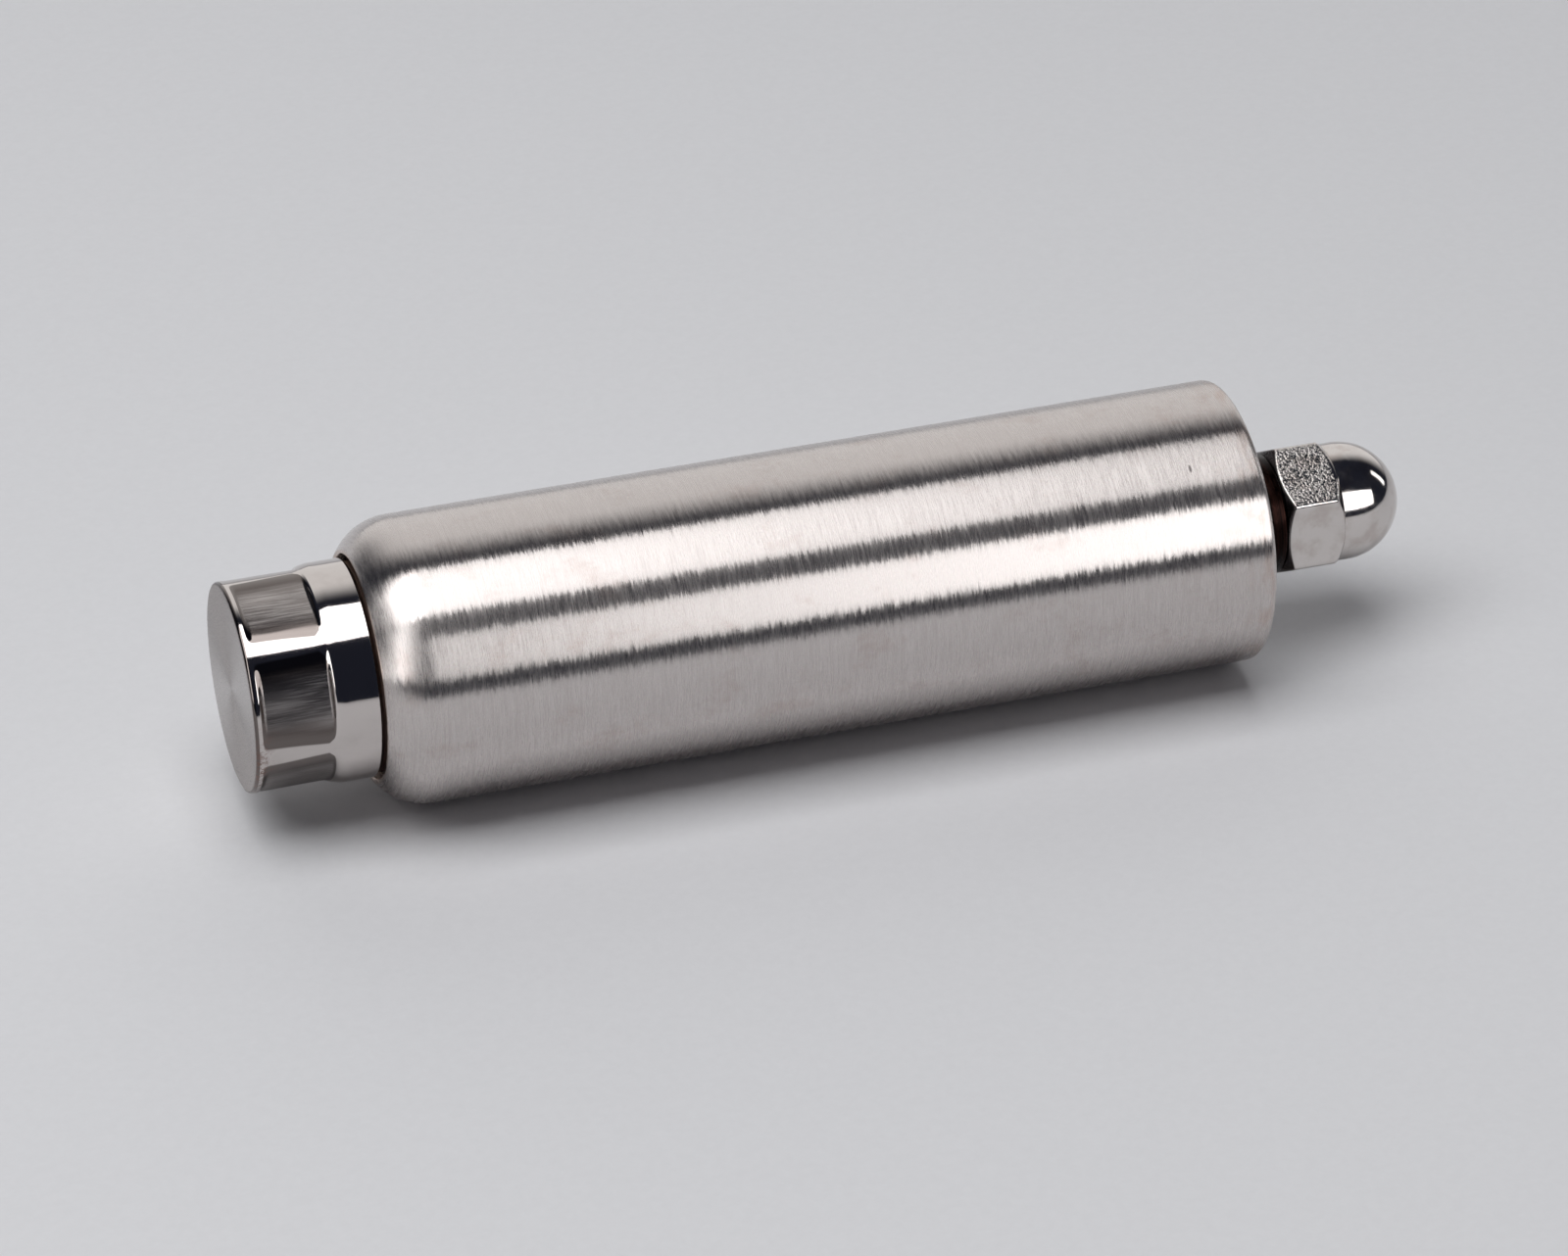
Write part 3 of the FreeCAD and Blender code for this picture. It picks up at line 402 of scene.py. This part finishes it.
class Shader:
    """A node material that is built line by line.

    An input may be a plain value or another node's output, which is then linked.
    """

    def __init__(self, name, base=(0.5, 0.5, 0.5), metallic=0.0, roughness=0.5):
        self.material = bpy.data.materials.new(name)
        self.material.use_nodes = True
        self.tree = self.material.node_tree
        self.bsdf = self.tree.nodes["Principled BSDF"]
        self.set("Base Color", (*base, 1.0))
        self.set("Metallic", metallic)
        self.set("Roughness", roughness)

    def set(self, name, value):
        self.join(self.bsdf.inputs[name], value)

    def join(self, socket, value):
        if isinstance(value, bpy.types.NodeSocket):
            self.tree.links.new(value, socket)
        else:
            socket.default_value = value

    def add(self, kind, inputs=(), **settings):
        node = self.tree.nodes.new(kind)
        for key, value in settings.items():
            setattr(node, key, value)
        for key, value in dict(inputs).items():
            self.join(node.inputs[key], value)
        return node

    def place(self, scale=(1, 1, 1)):
        """Millimetres from the axis, times the scale."""
        coordinates = self.add("ShaderNodeTexCoord").outputs["Object"]
        moved = self.vector("ADD", coordinates, (0, 0, -AXIS_Z))
        return self.vector("MULTIPLY", moved, tuple(s / MM for s in scale))

    def noise_at(self, vector, detail, rough):
        """Noise from 0 to 1 over the given place."""
        inputs = {"Vector": vector, "Scale": 1.0, "Detail": detail, "Roughness": rough}
        return self.add("ShaderNodeTexNoise", inputs).outputs["Fac"]

    def noise(self, scale, detail=3.0, rough=0.55):
        """Noise from 0 to 1. scale is in patterns per millimetre along x, y and z."""
        return self.noise_at(self.place(scale), detail, rough)

    def remap(self, value, low, high, to_low, to_high, soft=False):
        """A value from low to high, spread from to_low to to_high and kept between them."""
        inputs = {"Value": value, "From Min": low, "From Max": high, "To Min": to_low, "To Max": to_high}
        kind = "SMOOTHSTEP" if soft else "LINEAR"
        return self.add("ShaderNodeMapRange", inputs, interpolation_type=kind).outputs[0]

    def rise(self, value, low, high, top=1.0):
        """A soft rise from 0 at low to top at high."""
        return self.remap(value, low, high, 0.0, top, soft=True)

    def fall(self, value, low, high, top=1.0):
        """A soft fall from top at low to 0 at high."""
        return self.remap(value, low, high, top, 0.0, soft=True)

    def math(self, operation, a, b=0.0):
        return self.add("ShaderNodeMath", {0: a, 1: b}, operation=operation).outputs[0]

    def times(self, a, b):
        return self.math("MULTIPLY", a, b)

    def vector(self, operation, a, b):
        return self.add("ShaderNodeVectorMath", {0: a, 1: b}, operation=operation).outputs[0]

    def mix(self, share, one, two):
        """A colour between two, where each is a colour or a socket."""
        node = self.add("ShaderNodeMix", data_type="RGBA")
        self.join(node.inputs[0], share)
        self.join(node.inputs[6], one if isinstance(one, bpy.types.NodeSocket) else (*one, 1.0))
        self.join(node.inputs[7], two if isinstance(two, bpy.types.NodeSocket) else (*two, 1.0))
        return node.outputs[2]

    def bump(self, height, distance, strength=1.0):
        inputs = {"Height": height, "Distance": distance, "Strength": strength}
        if self.bsdf.inputs["Normal"].is_linked:
            inputs["Normal"] = self.bsdf.inputs["Normal"].links[0].from_socket
        self.set("Normal", self.add("ShaderNodeBump", inputs).outputs[0])

    def split(self):
        """x, y and z in millimetres from the axis."""
        return self.add("ShaderNodeSeparateXYZ", {0: self.place()}).outputs

    def off_axis(self):
        """Distance from the axis in millimetres."""
        _, y, z = self.split()
        return self.math("SQRT", self.math("ADD", self.times(y, y), self.times(z, z)))

    def spot(self, place, size):
        """1 within an oval spot round a place and 0 outside. Both place and size are in millimetres."""
        shifted = self.vector("ADD", self.place(), tuple(-p for p in place))
        scaled = self.vector("MULTIPLY", shifted, tuple(1 / s for s in size))
        reach = self.add("ShaderNodeVectorMath", {0: scaled}, operation="LENGTH").outputs["Value"]
        return self.fall(reach, 0.6, 1.1)

    def tilt_round(self, value, amount):
        """Tilts the surface about the axis, one way or the other, as each scratch of a brushed tube does."""
        normal = self.add("ShaderNodeNewGeometry").outputs["Normal"]
        sideways = self.vector("CROSS_PRODUCT", (1.0, 0.0, 0.0), normal)
        share = self.times(self.math("SUBTRACT", value, 0.5), amount)
        shift = self.add("ShaderNodeVectorMath", {0: sideways, "Scale": share}, operation="SCALE").outputs[0]
        total = self.vector("ADD", normal, shift)
        self.set("Normal", self.add("ShaderNodeVectorMath", {0: total}, operation="NORMALIZE").outputs[0])

    def brushed(self, amount, turn):
        """Fine scratches that spread reflections one way: round the axis at turn 0, along it at turn 0.25."""
        self.set("Anisotropic", amount)
        self.set("Anisotropic Rotation", turn)
        self.set("Tangent", self.add("ShaderNodeTangent", direction_type="RADIAL", axis="X").outputs[0])


def sleeve_material():
    """Stainless steel, brushed round the tube, with faint brown smudges and small dents, and painted shade in
    brownish streaks near the rim.
    """
    s = Shader("brushed_stainless", (0.58, 0.555, 0.54), 1.0, 0.30)
    s.brushed(0.98, ALONG_AXIS)
    fine = s.noise((8.0, 0.45, 0.45), 4.0, 0.65)
    long = s.noise((2.6, 0.14, 0.14), 3.0, 0.6)
    streak = s.math("ADD", s.times(fine, 0.65), s.times(long, 0.35))
    s.set("Roughness", s.remap(streak, 0.3, 0.7, 0.21, 0.33))
    colour = s.mix(s.remap(streak, 0.35, 0.65, 0.0, 1.0), STEEL_SHADE, STEEL_LIGHT)
    smudge = s.rise(s.noise((0.16, 0.22, 0.22), 5.0, 0.7), 0.52, 0.74, 0.55)
    colour = s.mix(smudge, colour, STEEL_SMUDGE)
    x = s.split()[0]
    # Painted shade: brownish streaks near the rim stand in for the shade and brownish reflection that fall
    # there
    near_rim = s.rise(x, RIM / MM - 5.0, RIM / MM - 0.3, 0.45)
    painted_rim_shade = s.times(near_rim, s.rise(s.noise((0.8, 0.3, 0.3), 4.0), 0.42, 0.68))
    colour = s.mix(painted_rim_shade, colour, RIM_PAINTED_SHADE)
    lip_end = HOLE_RADIUS / MM + 0.6
    colour = s.mix(s.fall(s.off_axis(), lip_end - 0.35, lip_end, 0.8), colour, LIP_STAIN)
    nick = s.spot(NICK_PLACE, NICK_SIZE)
    s.set("Base Color", s.mix(s.times(nick, 0.85), colour, NICK_DARK))
    s.tilt_round(s.noise((3.6, 0.42, 0.42), 4.0, 0.72), 0.125)
    s.bump(fine, 0.003 * MM, 0.4)
    return s.material


def knob_material():
    """Buffed steel with a soft waviness, polishing lines along the flats and brown specks near the rim.
    Painted shade darkens the flats, and a painted shadow lines their edges.
    """
    s = Shader("polished_knob", (0.60, 0.57, 0.555), 1.0, 0.07)
    s.brushed(0.85, ROUND_AXIS)
    x, _, z = s.split()
    radius = s.off_axis()
    face_at = KNOB_FACE / MM
    grip_at = GRIP_RADIUS / MM
    bevel_at = (MOUTH - COLLAR_BEVEL) / MM
    face = s.remap(x, face_at + 0.02, face_at + 0.10, 1.0, 0.0)
    flats = s.remap(radius, grip_at - 0.16, grip_at - 0.05, 1.0, 0.0)
    bevel = s.remap(x, bevel_at - 0.02, bevel_at + 0.03, 0.0, 1.0)

    lines = s.noise((0.16, 6.0, 6.0), 4.0, 0.65)
    rough = s.math("ADD", s.times(s.remap(lines, 0.35, 0.7, 0.10, 0.20), flats), 0.045)
    dulled = s.math("ADD", s.times(face, 0.10), s.times(bevel, 0.35))
    s.set("Roughness", s.math("ADD", rough, dulled))

    dull = s.rise(s.noise((0.35, 0.35, 0.35), 3.0), 0.45, 0.75, 0.35)
    colour = s.mix(dull, KNOB_BRIGHT, KNOB_DULL)
    # Painted shade: the flats get a darker colour than the rest of the knob, for the dark they reflect, mixed
    # along the polishing lines
    colour = s.mix(flats, colour, s.mix(s.rise(lines, 0.4, 0.62), FLAT_PAINTED_SHADE_DEEP, FLAT_PAINTED_SHADE_PALE))
    # Painted shadow: a dark line just inside the edge of each flat
    sunk = s.math("SUBTRACT", grip_at, radius)
    painted_edge_shadow = s.times(s.remap(sunk, 0.001, 0.008, 0.0, 1.0), s.fall(sunk, 0.12, 0.42))
    outside = s.remap(x, bevel_at - 0.3, bevel_at - 0.2, 0.85, 0.0)
    colour = s.mix(s.times(painted_edge_shadow, outside), colour, FLAT_EDGE_PAINTED_SHADOW)
    colour = s.mix(bevel, colour, BEVEL_BROWN)
    speck = s.rise(s.noise((1.6, 2.0, 2.0), 6.0, 0.75), 0.49, 0.58)
    near_rim = s.times(s.fall(x, face_at + 0.3, face_at + 2.4), s.math("SUBTRACT", 1.0, face))
    low = s.fall(z, -4.0, 4.0, 0.9)
    s.set("Base Color", s.mix(s.times(s.times(speck, near_rim), low), colour, SPECK_BROWN))

    s.bump(s.times(lines, flats), 0.0016 * MM, 0.6)
    s.bump(s.noise((0.22, 0.30, 0.30), 1.0), 0.05 * MM, 0.5)
    return s.material


def nut_material():
    """Plated cap nut: the dome is polished, and the forged flats keep a rough skin under the plating. Its
    chamfered foot is painted near black as a painted dark reflection.
    """
    s = Shader("plated_dome_nut", (0.64, 0.625, 0.61), 1.0, 0.06)
    x, _, z = s.split()
    hex_end = (NUT_BASE + NUT_HEX) / MM
    foot = NUT_FOOT / MM
    flats = s.fall(x, hex_end - 0.7, hex_end - 0.1)
    cast_skin = s.times(flats, s.rise(z, 3.9, 4.5))
    pits = s.rise(s.noise((2.6, 3.4, 3.4), 3.0, 0.6), 0.40, 0.66)
    s.bump(s.times(pits, cast_skin), 0.022 * MM, 0.8)
    s.bump(s.noise((0.5, 0.5, 0.5), 1.0), 0.03 * MM, 0.4)
    rough = s.remap(s.noise((0.9, 0.9, 0.9), 4.0), 0.35, 0.7, 0.07, 0.14)
    s.set("Roughness", s.math("ADD", rough, s.times(cast_skin, 0.08)))
    colour = s.mix(s.rise(s.noise((0.5, 0.5, 0.5), 4.0), 0.4, 0.7), NUT_BRIGHT, NUT_DULL)
    # Painted reflection: the chamfer at the nut's foot is painted near black for the dark it reflects
    widening = s.times(s.math("SUBTRACT", x, NUT_BASE / MM), NUT_FRONT_SLOPE)
    chamfer = s.fall(s.math("SUBTRACT", widening, s.off_axis()), -foot, 0.25 - foot)
    s.set("Base Color", s.mix(chamfer, colour, NUT_PAINTED_REFLECTION))
    return s.material


def washer_material():
    """Steel painted near black as painted shade, with rust-brown turning lines."""
    s = Shader("washers_in_painted_shade", (0.10, 0.07, 0.06), 1.0, 0.28)
    turned = s.noise((7.0, 0.05, 0.05), 3.0, 0.7)
    # Painted shade: the washers are painted near black, with brown turning lines in it
    s.set("Base Color", s.mix(s.rise(turned, 0.4, 0.7), WASHER_PAINTED_SHADE, WASHER_BROWN))
    s.set("Roughness", s.remap(s.noise((2.0, 1.0, 1.0)), 0.3, 0.7, 0.2, 0.42))
    s.bump(turned, 0.02 * MM, 0.6)
    return s.material


def turned_metal(name, bright, dull, roughness, spread=0.5):
    """Machined metal: fine tool lines round the axis on the outside, and rings on the faces."""
    s = Shader(name, bright, 1.0, roughness)
    s.brushed(spread, ALONG_AXIS)
    lines_per_mm = 7.0
    along = {0: s.times(s.split()[0], lines_per_mm), 1: s.times(s.off_axis(), lines_per_mm)}
    lines = s.noise_at(s.add("ShaderNodeCombineXYZ", along).outputs[0], 3.0, 0.6)
    cloud = s.noise((0.45, 0.45, 0.45), 4.0, 0.6)
    s.set("Base Color", s.mix(s.rise(cloud, 0.4, 0.7), bright, dull))
    s.set("Roughness", s.remap(lines, 0.3, 0.7, roughness * 0.8, roughness * 1.3))
    s.bump(lines, 0.012 * MM, 0.5)
    return s.material


def ground_metal(name, bright, dull, roughness):
    """Plain steel with crossing grinding marks."""
    s = Shader(name, bright, 1.0, roughness)
    marks = s.noise((1.2, 6.0, 6.0), 4.0, 0.65)
    cloud = s.noise((0.6, 0.6, 0.6), 4.0, 0.6)
    s.set("Base Color", s.mix(s.rise(cloud, 0.4, 0.7), bright, dull))
    s.set("Roughness", s.remap(marks, 0.3, 0.7, roughness * 0.75, roughness * 1.35))
    s.bump(marks, 0.008 * MM, 0.5)
    return s.material


def rubber():
    """Matt black rubber with a fine grain."""
    s = Shader("o_ring_rubber", (0.02, 0.02, 0.02), 0.0, 0.6)
    grain = s.noise((4.0, 4.0, 4.0), 5.0, 0.7)
    s.set("Base Color", s.mix(grain, RUBBER_BLACK, RUBBER_GREY))
    s.set("Roughness", s.remap(grain, 0.3, 0.7, 0.5, 0.75))
    s.bump(grain, 0.02 * MM, 0.5)
    return s.material


def floor_material():
    """Pale grey paper."""
    s = Shader("pale_floor", (0.78, 0.78, 0.80), 0.0, 0.85)
    grain = s.noise((1.1, 1.1, 1.1), 4.0, 0.6)
    s.set("Base Color", s.mix(grain, PAPER_SHADE, PAPER_LIGHT))
    s.bump(grain, 0.03 * MM, 0.3)
    return s.material


def dress_frame():
    """Gives every CAD node that stays in sight its material, by the record's slot."""
    looks = {
        "brass": turned_metal("turned_brass", (0.78, 0.57, 0.27), (0.60, 0.41, 0.18), 0.26),
        "aluminium": turned_metal("turned_aluminium", (0.72, 0.72, 0.73), (0.60, 0.60, 0.61), 0.30),
        "vault_aluminium": turned_metal("vault_aluminium", (0.76, 0.76, 0.77), (0.66, 0.66, 0.67), 0.24, 0.7),
        "plain_steel": ground_metal("ground_steel", (0.55, 0.545, 0.54), (0.42, 0.41, 0.40), 0.26),
        "dark_steel": ground_metal("blackened_steel", (0.07, 0.07, 0.075), (0.035, 0.035, 0.04), 0.35),
        "spring_steel": ground_metal("blued_spring_steel", (0.20, 0.21, 0.27), (0.12, 0.12, 0.16), 0.28),
        "black_rubber": rubber(),
    }
    for part in frame["record"]["subparts"]:
        look = looks.get(part["material_slot"])
        if look:
            mesh = nodes[part["node"]].data
            mesh.materials.clear()
            mesh.materials.append(look)


# ---------------------------------------------------------------- studio


def aim(thing, place, target):
    """Puts a light or a camera at a place and turns it towards a target."""
    thing.location = place
    thing.rotation_euler = (Vector(target) - Vector(place)).to_track_quat("-Z", "Y").to_euler()


def softbox(name, place, target, size, radiance):
    """A rectangular light that looks equally bright wherever it stands, and that the camera doesn't see."""
    light = bpy.data.lights.new(name, "AREA")
    light.shape = "RECTANGLE"
    light.size, light.size_y = size
    light.energy = radiance * math.pi * size[0] * size[1]
    lamp = bpy.data.objects.new(name, light)
    bpy.context.scene.collection.objects.link(lamp)
    lamp.visible_camera = False
    aim(lamp, place, target)
    return lamp


def make_world():
    """A dim room with a pale wall behind the object. The camera itself sees plain pale grey."""
    world = bpy.data.worlds.new("studio")
    bpy.context.scene.world = world
    world.use_nodes = True
    tree = world.node_tree
    back = tree.nodes["Background"]
    direction = tree.nodes.new("ShaderNodeTexCoord").outputs["Generated"]
    axes = tree.nodes.new("ShaderNodeSeparateXYZ")
    tree.links.new(direction, axes.inputs[0])
    edges = []
    for axis, (start, end) in ((1, WALL_EDGE), (0, WALL_LEFT_END)):
        edge = tree.nodes.new("ShaderNodeMapRange")
        edge.interpolation_type = "SMOOTHSTEP"
        edge.inputs["From Min"].default_value = start
        edge.inputs["From Max"].default_value = end
        tree.links.new(axes.outputs[axis], edge.inputs["Value"])
        edges.append(edge.outputs[0])
    wall = tree.nodes.new("ShaderNodeMath")
    wall.operation = "MULTIPLY"
    tree.links.new(edges[0], wall.inputs[0])
    tree.links.new(edges[1], wall.inputs[1])

    room = tree.nodes.new("ShaderNodeMix")
    room.data_type = "RGBA"
    room.inputs[6].default_value = (*DARK_ROOM, 1.0)
    room.inputs[7].default_value = (*PALE_WALL, 1.0)
    tree.links.new(wall.outputs[0], room.inputs[0])
    path = tree.nodes.new("ShaderNodeLightPath")
    seen = tree.nodes.new("ShaderNodeMix")
    seen.data_type = "RGBA"
    seen.inputs[7].default_value = (*BACKDROP, 1.0)
    tree.links.new(path.outputs["Is Camera Ray"], seen.inputs[0])
    tree.links.new(room.outputs[2], seen.inputs[6])
    tree.links.new(seen.outputs[2], back.inputs["Color"])


def make_lights():
    """A softbox above lights the floor. The others only show in the metal and throw no light on the floor."""
    softbox("overhead", (-0.546, -0.146, 1.20), (-0.546, -0.10, 0.0), (1.606, 0.853), 3.5)
    reflections = [
        softbox("front_right", (0.30, -0.31, 0.19), (0.30, 0.0, AXIS_Z), (0.46, 0.225), 3.0),
        softbox("front_left", (-0.65, -0.31, 0.36), (-0.65, 0.0, 0.36), (0.60, 0.58), 3.3),
        softbox("side_strip", (0.96, 0.12, 0.345), (0.06, 0.0, AXIS_Z), (0.12, 0.45), 2.4),
    ]
    for lamp in reflections:
        lamp.visible_diffuse = False


def make_floor():
    """The sheet of paper that the object lies on."""
    mesh = bpy.data.meshes.new("floor")
    half = FLOOR_HALF
    corners = [(-half, -half, 0), (half, -half, 0), (half, half, 0), (-half, half, 0)]
    mesh.from_pydata(corners, [], [(0, 1, 2, 3)])
    mesh.materials.append(floor_material())
    floor = bpy.data.objects.new("floor", mesh)
    bpy.context.scene.collection.objects.link(floor)


def make_camera():
    """A long lens from the front left and above."""
    lens = bpy.data.cameras.new("camera")
    lens.lens = LENS
    lens.sensor_width = SENSOR_WIDTH
    lens.clip_start = 0.01
    camera = bpy.data.objects.new("camera", lens)
    bpy.context.scene.collection.objects.link(camera)
    aim(camera, CAMERA_PLACE, CAMERA_PLACE + CAMERA_FORWARD)
    bpy.context.scene.camera = camera


def main():
    make_sleeve(sleeve_material())
    make_knob(knob_material())
    make_dome_nut(nut_material())
    make_washers(washer_material())
    dress_frame()
    make_floor()
    make_world()
    make_lights()
    make_camera()
    bpy.context.scene.view_settings.view_transform = "Standard"


main()
